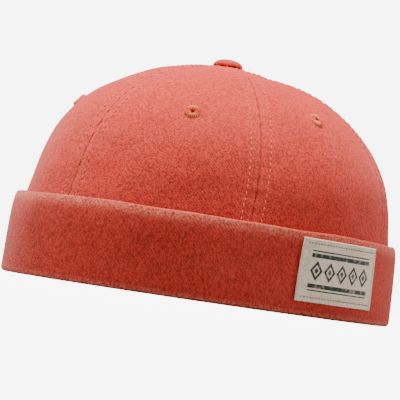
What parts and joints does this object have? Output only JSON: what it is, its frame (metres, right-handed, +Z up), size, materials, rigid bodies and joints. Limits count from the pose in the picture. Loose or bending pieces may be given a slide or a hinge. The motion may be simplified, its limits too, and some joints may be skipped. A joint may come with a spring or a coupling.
{
  "type": "docker beanie",
  "caption": "Brimless panelled cotton cap with a low dome, a turned-up cuff, a patch on its side and a snap strap across an arched opening at the back.",
  "frame": {"origin": "on the surface that the rim rests on, under the middle of the hat's outer box", "axes": "+Z up through the crown; -Y the wearer's front, +Y the open back; +X the wearer's left, which carries the patch"},
  "size_m": [0.182, 0.2116, 0.1212],
  "materials": {
    "cotton": "washed, brushed cotton twill, coral red, faded along the folds",
    "lining": "plain red cotton tape",
    "eyelet_thread": "light coral embroidery thread",
    "snap_metal": "antique brass, darkened",
    "patch_twill": "cream twill with folded edges and dark green stitching"
  },
  "bodies": {
    "root": {"crown_panel_front_left": "cotton", "crown_panel_left": "cotton", "crown_panel_back_left": "cotton", "crown_panel_back_right": "cotton", "crown_panel_right": "cotton", "crown_panel_front_right": "cotton", "eyelet_front_left": "eyelet_thread", "eyelet_left": "eyelet_thread", "eyelet_back_left": "eyelet_thread", "eyelet_back_right": "eyelet_thread", "eyelet_right": "eyelet_thread", "eyelet_front_right": "eyelet_thread", "top_button": "cotton", "cuff": "cotton", "sweatband": "lining", "back_strap": "cotton", "snap_cap": "snap_metal", "snap_ring": "snap_metal", "side_patch": "patch_twill"}
  },
  "joints": []
}
